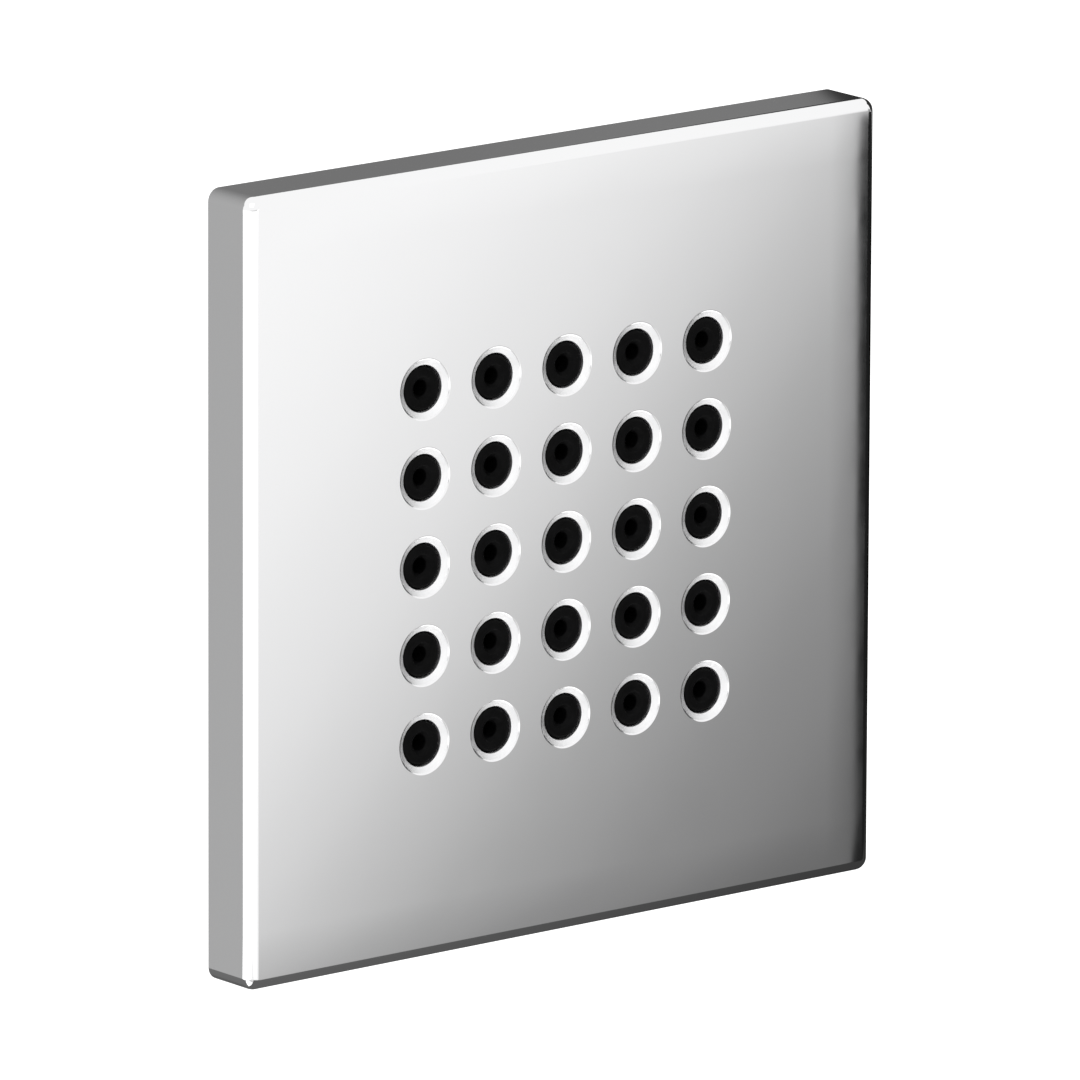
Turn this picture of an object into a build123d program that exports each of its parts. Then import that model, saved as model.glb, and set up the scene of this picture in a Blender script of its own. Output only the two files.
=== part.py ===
from build123d import *
from math import ceil, radians, tan
import os

# Shower body jet: a flush square plate with silicone nozzles, on a head that swivels on a threaded nipple.
# Units are millimetres. The finished wall is the plane y = 0, the room lies towards -Y and +Z is up.

# Clearances
fit_gap = 0.1
nozzle_gap = 0.05
running_gap = 0.05
end_gap = 0.3
squeeze_gap = 0.03

# Face plate
plate_size = 60.0
plate_depth = 5.0
plate_corner_radius = 1.0
front_edge_radius = 0.9
face_thickness = 1.6
rim_width = 1.2
pocket_corner_radius = 2.0

# Nozzle pattern and silicone mat
nozzles_per_row = 5
nozzle_pitch = 6.75
nozzle_hole_diameter = 3.6
nozzle_hole_chamfer = 0.55
nozzle_hole_chamfer_angle = 120.0
nozzle_bore_diameter = 1.2
mat_thickness = 1.2
mat_margin = 4.5
mat_corner_radius = 3.0

# Nozzle carrier
carrier_thickness = 2.0
carrier_margin = 3.0
carrier_corner_radius = 2.0
feed_slot_width = 2.4
feed_slot_overrun = 1.2
rib_width = 1.0
rib_height = 1.5
rib_end_margin = 2.0

# Jet housing
housing_wall = 1.9
housing_corner_radius = 4.0
housing_edge_chamfer = 1.5
carrier_ledge = 1.2
chamber_depth = 3.2
housing_back_wall = 2.0
lug_thickness = 2.4
hub_diameter = 26.0
hub_length = 9.8
hub_root_chamfer = 1.5
hub_edge_chamfer = 0.8
passage_diameter = 11.0
socket_diameter = 18.0
socket_depth = 10.3
socket_lead = 0.8

# Screws and their bosses in the plate
screw_diameter = 2.5
screw_thread_gap = 0.03
screw_engagement = 2.8
screw_bottom_gap = 0.4
screw_head_diameter = 4.6
screw_head_height = 1.8
screw_head_chamfer = 0.6
screw_hole_gap = 0.2
boss_diameter = 5.0
boss_height = 3.0
screw_count = 4

# Wall gasket
gasket_width = 2.0
gasket_thickness = 1.5

# Spigot of the nipple, with its rings
spigot_lead = 0.6
slide_ring_offset = 1.2
slide_ring_width = 1.8
slide_ring_thickness = 0.9
slide_ring_split = 1.0
seal_offset = 4.0
seal_width = 2.2
seal_groove_depth = 1.65
seal_lip_depth = 1.3
seal_lip_split = 0.5
snap_ring_offset = 7.4
snap_ring_thickness = 1.0
snap_ring_width = 1.2
snap_ring_reach = 0.45
snap_ring_split = 4.0
snap_ring_travel = 0.6
thrust_washer_thickness = 0.8
thrust_washer_diameter = 24.0

# Threaded inlet of the nipple, for a half-inch parallel pipe thread
inlet_length = 9.5
collar_length = 1.0
thread_diameter = 20.955
thread_pitch = 1.814
thread_depth = 1.162
thread_angle = 55.0
thread_root_width = 0.3
thread_run_out = 0.05
thread_cut_overrun = 0.1
bore_diameter = 9.5
hex_key_size = 10.0
hex_key_depth = 10.0
inlet_cup_diameter = 13.0
inlet_recess = 0.8

# Flow restrictor in the inlet
restrictor_length = 3.4
restrictor_wall = 1.1
restrictor_base = 1.5
orifice_diameter = 3.2
orifice_entry = 0.7

# Inlet strainer
strainer_length = 2.6
strainer_wall = 0.9
strainer_ledge = 0.8
strainer_ledge_height = 1.2
mesh_thickness = 0.5
mesh_pitch = 1.3
mesh_bar = 0.4
mesh_border = 0.5

# Depths along the jet axis, measured into the wall
front_y = -plate_depth
floor_y = front_y + face_thickness
mat_back_y = floor_y + mat_thickness
carrier_back_y = mat_back_y + carrier_thickness
chamber_back_y = carrier_back_y + chamber_depth
housing_back_y = chamber_back_y + housing_back_wall
hub_end_y = housing_back_y + hub_length
socket_floor_y = hub_end_y - socket_depth
boss_top_y = floor_y + boss_height
lug_back_y = boss_top_y + lug_thickness
spigot_front_y = socket_floor_y + end_gap
washer_front_y = hub_end_y + fit_gap
shoulder_y = washer_front_y + thrust_washer_thickness
collar_back_y = shoulder_y + collar_length
nipple_end_y = shoulder_y + inlet_length
strainer_back_y = nipple_end_y - inlet_recess
strainer_front_y = strainer_back_y - strainer_length
cup_floor_y = strainer_front_y - restrictor_length
slide_front_y = spigot_front_y + slide_ring_offset
slide_back_y = slide_front_y + slide_ring_width
seal_front_y = spigot_front_y + seal_offset
seal_back_y = seal_front_y + seal_width
snap_front_y = spigot_front_y + snap_ring_offset
snap_back_y = snap_front_y + snap_ring_thickness

# Square outlines around the nozzle pattern
pattern_span = (nozzles_per_row - 1) * nozzle_pitch
mat_size = pattern_span + 2 * mat_margin
carrier_size = pattern_span + 2 * carrier_margin
recess_size = carrier_size + 2 * fit_gap
chamber_size = carrier_size - 2 * carrier_ledge
housing_size = recess_size + 2 * housing_wall
feed_slot_length = pattern_span + feed_slot_width + 2 * feed_slot_overrun
seat_size = plate_size - 2 * rim_width
gasket_size = seat_size - 2 * fit_gap
gasket_opening = gasket_size - 2 * gasket_width
pocket_size = gasket_opening - 2 * fit_gap
screw_circle_radius = (housing_size + pocket_size) / 4

# Radii about the jet axis
nozzle_radius = nozzle_hole_diameter / 2 - nozzle_gap
nozzle_tip_y = front_y + nozzle_hole_chamfer / tan(radians(nozzle_hole_chamfer_angle / 2))
socket_radius = socket_diameter / 2
spigot_radius = socket_radius - running_gap
slide_groove_radius = socket_radius - squeeze_gap - slide_ring_thickness - squeeze_gap
seal_groove_radius = spigot_radius - seal_groove_depth
snap_ring_outer_radius = socket_radius + snap_ring_reach
snap_ring_inner_radius = snap_ring_outer_radius - snap_ring_width
snap_groove_radius = snap_ring_inner_radius - snap_ring_travel
thread_radius = thread_diameter / 2
thread_root_radius = thread_radius - thread_depth
thread_chamfer = thread_depth + thread_run_out
cup_radius = inlet_cup_diameter / 2
insert_radius = cup_radius - fit_gap
bore_radius = bore_diameter / 2


def wall_plane(depth):
    """Plane parallel to the wall, looking into the room, at a depth along the jet axis."""
    return Plane.XZ.offset(-depth)


def groove_points(land_radius, bottom_radius, groove_front, groove_back):
    """Four profile points of a square groove, as (radius, depth)."""
    return [
        (land_radius, groove_front),
        (bottom_radius, groove_front),
        (bottom_radius, groove_back),
        (land_radius, groove_back),
    ]


os.makedirs("parts", exist_ok=True)

# Face plate: a shallow tray with a gasket seat round its rim and four screw bosses on its floor
with BuildPart() as face_plate:
    with BuildSketch(wall_plane(0)):
        RectangleRounded(plate_size, plate_size, plate_corner_radius)
    extrude(amount=plate_depth)
    fillet(face_plate.faces().sort_by(Axis.Y)[0].edges(), front_edge_radius)
    with BuildSketch(wall_plane(0)):
        RectangleRounded(seat_size, seat_size, pocket_corner_radius)
    extrude(amount=gasket_thickness, mode=Mode.SUBTRACT)
    with BuildSketch(wall_plane(0)):
        RectangleRounded(pocket_size, pocket_size, pocket_corner_radius)
    extrude(amount=-floor_y, mode=Mode.SUBTRACT)
    with BuildSketch(wall_plane(boss_top_y)):
        with PolarLocations(screw_circle_radius, screw_count):
            Circle(boss_diameter / 2)
    extrude(amount=boss_height)
    with BuildSketch(wall_plane(boss_top_y)):
        with PolarLocations(screw_circle_radius, screw_count):
            Circle(screw_diameter / 2)
    extrude(amount=screw_engagement + screw_bottom_gap, mode=Mode.SUBTRACT)
    with Locations(wall_plane(front_y)):
        with GridLocations(nozzle_pitch, nozzle_pitch, nozzles_per_row, nozzles_per_row):
            CounterSinkHole(
                nozzle_hole_diameter / 2,
                nozzle_hole_diameter / 2 + nozzle_hole_chamfer,
                face_thickness,
                counter_sink_angle=nozzle_hole_chamfer_angle,
            )
face_plate.part.label = "face_plate"
export_step(face_plate.part, "parts/face_plate.step")

# Nozzle mat: a square silicone pad with a bored nozzle standing in each hole of the plate
with BuildPart() as nozzle_mat:
    with BuildSketch(wall_plane(mat_back_y)):
        RectangleRounded(mat_size, mat_size, mat_corner_radius)
    extrude(amount=mat_thickness)
    with BuildSketch(wall_plane(floor_y)):
        with GridLocations(nozzle_pitch, nozzle_pitch, nozzles_per_row, nozzles_per_row):
            Circle(nozzle_radius)
    extrude(amount=floor_y - nozzle_tip_y)
    with BuildSketch(wall_plane(mat_back_y)):
        with GridLocations(nozzle_pitch, nozzle_pitch, nozzles_per_row, nozzles_per_row):
            Circle(nozzle_bore_diameter / 2)
    extrude(amount=mat_back_y - nozzle_tip_y, mode=Mode.SUBTRACT)
nozzle_mat.part.label = "nozzle_mat"
export_step(nozzle_mat.part, "parts/nozzle_mat.step")

# Nozzle carrier: a stiff plate that backs the mat, with one feed slot for each column of nozzles
with BuildPart() as nozzle_carrier:
    with BuildSketch(wall_plane(carrier_back_y)):
        RectangleRounded(carrier_size, carrier_size, carrier_corner_radius)
        with GridLocations(nozzle_pitch, nozzle_pitch, nozzles_per_row, 1):
            SlotOverall(feed_slot_length, feed_slot_width, rotation=90, mode=Mode.SUBTRACT)
    extrude(amount=carrier_thickness)
    with BuildSketch(wall_plane(carrier_back_y)):
        with GridLocations(nozzle_pitch, nozzle_pitch, nozzles_per_row - 1, 1):
            Rectangle(rib_width, chamber_size - 2 * rib_end_margin)
    extrude(amount=-rib_height)
nozzle_carrier.part.label = "nozzle_carrier"
export_step(nozzle_carrier.part, "parts/nozzle_carrier.step")

# Jet housing: the water chamber, with four screw lugs at its sides and the swivel socket in its hub
with BuildPart() as jet_housing:
    with BuildSketch(wall_plane(housing_back_y)):
        RectangleRounded(housing_size, housing_size, housing_corner_radius)
    extrude(amount=housing_back_y - mat_back_y)
    chamfer(jet_housing.faces().sort_by(Axis.Y)[-1].edges(), housing_edge_chamfer)
    with BuildSketch(wall_plane(lug_back_y)):
        with PolarLocations(screw_circle_radius / 2, screw_count):
            SlotCenterToCenter(screw_circle_radius, boss_diameter)
    extrude(amount=lug_thickness)
    with BuildSketch(wall_plane(housing_back_y)):
        Circle(hub_diameter / 2)
    extrude(amount=-hub_length)
    hub_root = jet_housing.edges().filter_by(GeomType.CIRCLE).filter_by_position(
        Axis.Y, housing_back_y, housing_back_y
    )
    chamfer(hub_root.sort_by(SortBy.RADIUS)[-1], hub_root_chamfer)
    chamfer(jet_housing.faces().sort_by(Axis.Y)[-1].edges(), hub_edge_chamfer)
    with BuildSketch(wall_plane(mat_back_y)):
        RectangleRounded(recess_size, recess_size, carrier_corner_radius + fit_gap)
    extrude(amount=mat_back_y - carrier_back_y, mode=Mode.SUBTRACT)
    with BuildSketch(wall_plane(carrier_back_y)):
        RectangleRounded(chamber_size, chamber_size, carrier_corner_radius)
    extrude(amount=-chamber_depth, mode=Mode.SUBTRACT)
    with BuildSketch(Plane.XY):
        with BuildLine():
            Polyline(
                (0, chamber_back_y),
                (passage_diameter / 2, chamber_back_y),
                (passage_diameter / 2, socket_floor_y),
                (socket_radius, socket_floor_y),
                *groove_points(
                    socket_radius,
                    snap_ring_outer_radius + running_gap,
                    snap_front_y - running_gap,
                    snap_back_y + running_gap,
                ),
                (socket_radius, hub_end_y - socket_lead),
                (socket_radius + socket_lead, hub_end_y),
                (0, hub_end_y),
                close=True,
            )
        make_face()
    revolve(axis=Axis.Y, mode=Mode.SUBTRACT)
    with BuildSketch(wall_plane(lug_back_y)):
        with PolarLocations(screw_circle_radius, screw_count):
            Circle(screw_diameter / 2 + screw_hole_gap)
    extrude(amount=lug_thickness, mode=Mode.SUBTRACT)
jet_housing.part.label = "jet_housing"
export_step(jet_housing.part, "parts/jet_housing.step")

# Housing screws: pan heads on the lugs, shanks in the bosses of the plate
with BuildPart() as housing_screws:
    with BuildSketch(wall_plane(lug_back_y)):
        with PolarLocations(screw_circle_radius, screw_count):
            Circle(screw_diameter / 2 - screw_thread_gap)
    extrude(amount=lug_thickness + screw_engagement)
    with BuildSketch(wall_plane(lug_back_y)):
        with PolarLocations(screw_circle_radius, screw_count):
            Circle(screw_head_diameter / 2)
    extrude(amount=-screw_head_height)
    chamfer(
        housing_screws.edges().filter_by_position(
            Axis.Y, lug_back_y + screw_head_height, lug_back_y + screw_head_height
        ),
        screw_head_chamfer,
    )
housing_screws.part.label = "housing_screws"
export_step(housing_screws.part, "parts/housing_screws.step")

# Wall gasket: a soft square frame in the seat behind the rim of the plate
with BuildPart() as wall_gasket:
    with BuildSketch(wall_plane(0)):
        RectangleRounded(gasket_size, gasket_size, pocket_corner_radius)
        RectangleRounded(gasket_opening, gasket_opening, pocket_corner_radius, mode=Mode.SUBTRACT)
    extrude(amount=gasket_thickness)
wall_gasket.part.label = "wall_gasket"
export_step(wall_gasket.part, "parts/wall_gasket.step")

# Snap ring: a split spring ring that springs out into the groove of the hub
with BuildPart() as snap_ring:
    with BuildSketch(wall_plane(snap_back_y)):
        Circle(snap_ring_outer_radius)
        Circle(snap_ring_inner_radius, mode=Mode.SUBTRACT)
        with Locations((0, -snap_ring_outer_radius)):
            Rectangle(snap_ring_split, 2 * snap_ring_outer_radius, mode=Mode.SUBTRACT)
    extrude(amount=snap_ring_thickness)
snap_ring.part.label = "snap_ring"
export_step(snap_ring.part, "parts/snap_ring.step")

# One turn of the groove between the threads, which starts in the undercut behind the nipple's collar
groove_height = thread_depth + thread_cut_overrun
groove_mouth = thread_root_width + 2 * groove_height * tan(radians(thread_angle / 2))
undercut_width = groove_mouth + 2 * thread_run_out
thread_front_y = collar_back_y + undercut_width
with BuildPart() as thread_groove:
    with BuildLine():
        turn = Helix(
            thread_pitch,
            thread_pitch,
            thread_root_radius,
            center=(0, (collar_back_y + thread_front_y) / 2, 0),
            direction=(0, 1, 0),
        )
    with BuildSketch(Plane(turn @ 0, x_dir=(0, 0, 1), z_dir=turn % 0)):
        Polygon(
            (0, -thread_root_width / 2),
            (groove_height, -groove_mouth / 2),
            (groove_height, groove_mouth / 2),
            (0, thread_root_width / 2),
            align=None,
        )
    sweep(is_frenet=True)

# Inlet nipple: turned brass, with the grooved spigot in front, the collar and pipe thread behind and a key socket
thread_turns = ceil((nipple_end_y - collar_back_y) / thread_pitch)
with BuildPart() as inlet_nipple:
    with BuildSketch(Plane.XY):
        with BuildLine():
            Polyline(
                (bore_radius, spigot_front_y),
                (spigot_radius - spigot_lead, spigot_front_y),
                (spigot_radius, spigot_front_y + spigot_lead),
                *groove_points(
                    spigot_radius,
                    slide_groove_radius,
                    slide_front_y - running_gap,
                    slide_back_y + running_gap,
                ),
                *groove_points(
                    spigot_radius,
                    seal_groove_radius,
                    seal_front_y - running_gap,
                    seal_back_y + running_gap,
                ),
                *groove_points(
                    spigot_radius,
                    snap_groove_radius,
                    snap_front_y - end_gap,
                    snap_back_y + end_gap,
                ),
                (spigot_radius, shoulder_y),
                (thread_radius, shoulder_y),
                *groove_points(
                    thread_radius,
                    thread_radius - thread_chamfer,
                    collar_back_y,
                    thread_front_y,
                ),
                (thread_radius, nipple_end_y - thread_chamfer),
                (thread_radius - thread_chamfer, nipple_end_y),
                (cup_radius, nipple_end_y),
                (cup_radius, cup_floor_y),
                (bore_radius, cup_floor_y),
                close=True,
            )
        make_face()
    revolve(axis=Axis.Y)
    with Locations(*((0, number * thread_pitch, 0) for number in range(thread_turns))):
        add(thread_groove.part, mode=Mode.SUBTRACT)
    with BuildSketch(wall_plane(spigot_front_y)):
        RegularPolygon(hex_key_size / 2, 6, major_radius=False)
    extrude(amount=-hex_key_depth, mode=Mode.SUBTRACT)
inlet_nipple.part.label = "inlet_nipple"
export_step(inlet_nipple.part, "parts/inlet_nipple.step")

# Spigot seal: a lip ring whose two lips open towards the water in front
seal_mid_radius = (seal_groove_radius + socket_radius) / 2
with BuildPart() as spigot_seal:
    with BuildSketch(wall_plane(seal_back_y)):
        Circle(socket_radius - squeeze_gap)
        Circle(seal_groove_radius + squeeze_gap, mode=Mode.SUBTRACT)
    extrude(amount=seal_width)
    with BuildSketch(wall_plane(seal_front_y)):
        Circle(seal_mid_radius + seal_lip_split / 2)
        Circle(seal_mid_radius - seal_lip_split / 2, mode=Mode.SUBTRACT)
    extrude(amount=-seal_lip_depth, mode=Mode.SUBTRACT)
spigot_seal.part.label = "spigot_seal"
export_step(spigot_seal.part, "parts/spigot_seal.step")

# Slide ring: a split plastic band that guides the socket on the spigot
with BuildPart() as slide_ring:
    with BuildSketch(wall_plane(slide_back_y)):
        Circle(socket_radius - squeeze_gap)
        Circle(slide_groove_radius + squeeze_gap, mode=Mode.SUBTRACT)
        with Locations((0, socket_radius)):
            Rectangle(slide_ring_split, 2 * slide_groove_radius, mode=Mode.SUBTRACT)
    extrude(amount=slide_ring_width)
slide_ring.part.label = "slide_ring"
export_step(slide_ring.part, "parts/slide_ring.step")

# Thrust washer between the end of the hub and the shoulder of the nipple
with BuildPart() as thrust_washer:
    with BuildSketch(wall_plane(shoulder_y)):
        Circle(thrust_washer_diameter / 2)
        Circle(spigot_radius + fit_gap, mode=Mode.SUBTRACT)
    extrude(amount=thrust_washer_thickness)
thrust_washer.part.label = "thrust_washer"
export_step(thrust_washer.part, "parts/thrust_washer.step")

# Flow restrictor: a small cup on the floor of the inlet, with one countersunk orifice
with BuildPart() as flow_restrictor:
    with BuildSketch(wall_plane(strainer_front_y)):
        Circle(insert_radius)
    extrude(amount=restrictor_length)
    with BuildSketch(wall_plane(strainer_front_y)):
        Circle(insert_radius - restrictor_wall)
    extrude(amount=restrictor_length - restrictor_base, mode=Mode.SUBTRACT)
    with Locations(wall_plane(cup_floor_y + restrictor_base).rotated((180, 0, 0))):
        CounterSinkHole(
            orifice_diameter / 2,
            orifice_diameter / 2 + orifice_entry,
            restrictor_base,
            counter_sink_angle=90,
        )
flow_restrictor.part.label = "flow_restrictor"
export_step(flow_restrictor.part, "parts/flow_restrictor.step")

# Strainer frame: a plastic ring behind the restrictor, with a ledge that carries the mesh
strainer_bore_radius = insert_radius - strainer_wall
ledge_radius = strainer_bore_radius - strainer_ledge
mesh_front_y = strainer_front_y + strainer_ledge_height
with BuildPart() as strainer_frame:
    with BuildSketch(wall_plane(strainer_back_y)):
        Circle(insert_radius)
        Circle(ledge_radius, mode=Mode.SUBTRACT)
    extrude(amount=strainer_length)
    with BuildSketch(wall_plane(strainer_back_y)):
        Circle(strainer_bore_radius)
    extrude(amount=strainer_length - strainer_ledge_height, mode=Mode.SUBTRACT)
strainer_frame.part.label = "strainer_frame"
export_step(strainer_frame.part, "parts/strainer_frame.step")

# Strainer mesh: a steel disc on the ledge, with square openings wherever they clear its border
mesh_radius = strainer_bore_radius - squeeze_gap
mesh_opening = mesh_pitch - mesh_bar
mesh_steps = int(mesh_radius / mesh_pitch)
mesh_reach = mesh_radius - mesh_border - mesh_opening * 2**0.5 / 2
mesh_centres = [
    (column * mesh_pitch, row * mesh_pitch)
    for column in range(-mesh_steps, mesh_steps + 1)
    for row in range(-mesh_steps, mesh_steps + 1)
    if Vector(column * mesh_pitch, row * mesh_pitch).length < mesh_reach
]
with BuildPart() as strainer_mesh:
    with BuildSketch(wall_plane(mesh_front_y + mesh_thickness)):
        Circle(mesh_radius)
        with Locations(*mesh_centres):
            Rectangle(mesh_opening, mesh_opening, mode=Mode.SUBTRACT)
    extrude(amount=mesh_thickness)
strainer_mesh.part.label = "strainer_mesh"
export_step(strainer_mesh.part, "parts/strainer_mesh.step")
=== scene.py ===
import bpy
import numpy as np
from mathutils import Matrix, Vector
from mathutils.geometry import delaunay_2d_cdt


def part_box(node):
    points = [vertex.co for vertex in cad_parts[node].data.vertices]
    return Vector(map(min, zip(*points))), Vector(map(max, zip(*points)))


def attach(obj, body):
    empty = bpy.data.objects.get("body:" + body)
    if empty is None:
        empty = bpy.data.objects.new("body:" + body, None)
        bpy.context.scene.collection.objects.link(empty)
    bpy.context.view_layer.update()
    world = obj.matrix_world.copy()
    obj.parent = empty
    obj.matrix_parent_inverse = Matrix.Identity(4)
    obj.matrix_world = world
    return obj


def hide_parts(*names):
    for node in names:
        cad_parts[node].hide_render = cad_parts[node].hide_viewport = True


bl_info = {
    "name": "Shower body jet",
    "version": (1, 0, 0),
    "blender": (4, 5, 0),
    "location": "View3D > Sidebar > Body Jet",
    "description": "Dresses a square shower body jet with its finishes and sets its studio",
    "category": "Add Mesh",
}

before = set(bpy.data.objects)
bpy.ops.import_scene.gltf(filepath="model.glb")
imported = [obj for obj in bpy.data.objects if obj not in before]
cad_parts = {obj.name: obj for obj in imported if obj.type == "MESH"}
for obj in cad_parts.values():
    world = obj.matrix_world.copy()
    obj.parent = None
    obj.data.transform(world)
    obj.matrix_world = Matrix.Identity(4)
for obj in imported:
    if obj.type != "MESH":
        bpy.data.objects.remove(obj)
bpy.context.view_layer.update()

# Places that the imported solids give, in metres. The jet axis is Y, and the room is towards -Y.
PLATE_LOW, PLATE_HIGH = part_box("face_plate")
MAT_LOW, MAT_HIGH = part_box("nozzle_mat")
GASKET_LOW, GASKET_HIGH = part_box("wall_gasket")
SCREW_LOW, SCREW_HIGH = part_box("housing_screws")
NIPPLE_LOW, NIPPLE_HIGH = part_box("inlet_nipple")
SLIDE_LOW, SLIDE_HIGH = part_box("slide_ring")
SEAL_LOW, SEAL_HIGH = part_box("spigot_seal")
SNAP_LOW, SNAP_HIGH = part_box("snap_ring")
WASHER_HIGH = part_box("thrust_washer")[1]
RESTRICTOR_LOW, RESTRICTOR_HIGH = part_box("flow_restrictor")
MESH_LOW, MESH_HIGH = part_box("strainer_mesh")

# Fineness of the surfaces: points within WELD metres are one, and the rest are counts of steps or rows.
WELD = 1e-7
ROUND_STEPS = 96
NOZZLE_STEPS = 48
CORNER_STEPS = 12
ARC_STEPS = 6
TURN_ROWS = 36
LEAD_ROWS = 24
WIRE_SIDES = 6
WEAVE_STEPS = 10

# A Delaunay net keeps the triangles inside its loops, and merges points within its tolerance in metres.
NET_INSIDE = 1
NET_TOLERANCE = 1e-9

# Small rounds in metres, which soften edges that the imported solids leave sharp, and the sliver of flat that
# the plate's front edge starts from.
PLATE_SOFT = 0.00012
MAT_SOFT = 0.00015
LIP_ROUND = 0.00035
NIPPLE_SOFT = 0.00006
SCREW_SOFT = 0.0001
GASKET_SOFT = 0.0003
EDGE_FLAT = 0.00005

# Nozzles in a row, and rows of them.
NOZZLE_ROWS = 5

# Proportions: the slope of the cone that starts the thread, the power that rounds its crests and roots, the
# flat share of a screw head's radius, and the round of the mesh's rim as a share of its width.
LEAD_SLOPE = 8.0
THREAD_POWER = 6
SCREW_CROWN = 0.6
RIM_ROUND = 0.45

# The polished front, in metres: how deep behind it satin starts and is full, the height of its waviness, and
# how far in from a border it rolls off. The bends say how fast, for each axis, and if only on its + side.
SATIN_START = 0.00002
SATIN_FULL = 0.00008
WAVINESS = 2e-6
ROLL_OFF = 0.0045
BENDS = (("X", -3.3, True), ("Z", -2.7, False))

# The studio, in metres and watts: the lamp, the floor's half side, how much it is lifted to white, the width
# of the camera's sensor in millimetres, and how far the camera sees.
LAMP_PLACE = Vector((-0.55, -0.75, 0.95))
LAMP_SIZE = 0.8
LAMP_POWER = 1.5
FLOOR_REACH = 6.0
FLOOR_LIFT = 0.45
SENSOR_WIDTH = 36.0
VIEW_END = 100.0

# Two cards across the line of sight that the front mirrors: their distance, their size across and up, where
# they begin, the turn of the first about the line, and the (place, strength) stops of their glow.
GRADED_DISTANCE = 0.25
GRADED_SIZE = (0.16, 0.30)
GRADED_BEGIN = -0.0837
GRADED_TURN = -0.607
GRADED_STOPS = (
    (0.25, 1.02), (0.375, 0.91), (0.45, 0.78), (0.50, 0.63),
    (0.555, 0.46), (0.625, 0.31), (0.6875, 0.23), (0.75, 0.155),
)
EDGE_DISTANCE = 0.24
EDGE_SIZE = (0.25, 0.09)
EDGE_BEGIN = 0.0307
EDGE_STOPS = ((0.0, 0.11), (0.003, 0.03), (0.01, 0.014), (1.0, 0.010))

# The other cards: a corner, two edges, and the stops of the glow along the first edge.
CARDS = {
    "right_flag": (
        (0.20, -0.60, -0.155), (1.0, 0.0, 0.0), (0.0, 1.30, 0.0),
        ((0.0, 0.55), (0.13, 0.30), (0.20, 0.02), (0.66, 0.015), (0.78, 0.22), (1.0, 0.60)),
    ),
    "corner_flag": (
        (0.40, -0.14, -0.03), (0.0, 0.42, 0.0), (0.0, 0.0, 0.34),
        ((0.0, 0.03), (1.0, 0.03)),
    ),
    "back_card": (
        (-0.45, 0.30, -0.25), (0.90, 0.0, 0.0), (0.0, 0.0, 0.56),
        ((0.23, 0.40), (0.72, 0.195), (0.812, 0.185), (0.815, 0.05), (0.83, 0.03)),
    ),
    "low_flag": (
        (-0.0305, -0.0085, -0.0307), (0.15, 0.0, 0.0), (0.0, 0.09, -0.06),
        ((0.0, 0.12), (0.5, 0.03)),
    ),
    "floor_flag": (
        (-0.29, 0.02, -0.155), (0.69, 0.0, 0.0), (0.0, 0.28, 0.0),
        ((0.0, 0.16), (1.0, 0.12)),
    ),
    "near_card": (
        (-0.28, -0.12, -0.155), (0.0, -0.30, 0.0), (0.48, 0.0, 0.0),
        ((0.0, 0.62), (0.6, 0.80), (1.0, 1.05)),
    ),
    "far_card": (
        (-1.50, -1.30, -0.155), (0.0, 0.0, 0.255), (1.85, 0.0, 0.0),
        ((0.0, 1.05), (0.40, 0.68), (0.60, 0.60), (1.0, 0.95)),
    ),
}


def length(name, description, default):
    """A property in metres."""
    return bpy.props.FloatProperty(name=name, description=description, default=default, unit="LENGTH")


def colour(name, description, default):
    """A linear colour property."""
    return bpy.props.FloatVectorProperty(
        name=name, description=description, default=default, size=3, subtype="COLOR", min=0.0, max=1.0
    )


class BodyJetPlate(bpy.types.PropertyGroup):
    """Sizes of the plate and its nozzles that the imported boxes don't give."""

    face_thickness: length("Face thickness", "Metal between the front and the pocket floor", 0.0016)
    edge_radius: length("Front edge radius", "Round of the polished front edge", 0.0009)
    corner_radius: length("Corner radius", "Round of the four outer corners", 0.0010)
    rim_width: length("Rim width", "Width of the rear rim that meets the wall", 0.0012)
    ledge_width: length("Ledge width", "Width of the gasket seat", 0.0022)
    pocket_radius: length("Pocket corner radius", "Round of the pocket's corners", 0.0020)
    nozzle_pitch: length("Nozzle pitch", "Distance between nozzle centres", 0.00675)
    hole_diameter: length("Hole diameter", "Nozzle hole in the plate", 0.0036)
    hole_chamfer: length("Hole chamfer", "Width of the bright bevel round each nozzle hole", 0.00055)
    nozzle_clearance: length("Nozzle clearance", "Room between a nozzle and its hole", 0.00005)
    nozzle_bore: length("Nozzle bore", "Water way of a nozzle", 0.0012)
    mat_radius: length("Mat corner radius", "Round of the mat's corners", 0.0030)
    boss_diameter: length("Boss diameter", "Screw boss on the pocket floor", 0.0050)
    boss_height: length("Boss height", "Height of a screw boss", 0.0030)
    boss_hole: length("Boss hole", "Tapped hole in a boss", 0.0025)
    boss_hole_depth: length("Boss hole depth", "Depth of the tapped hole", 0.0032)


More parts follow.
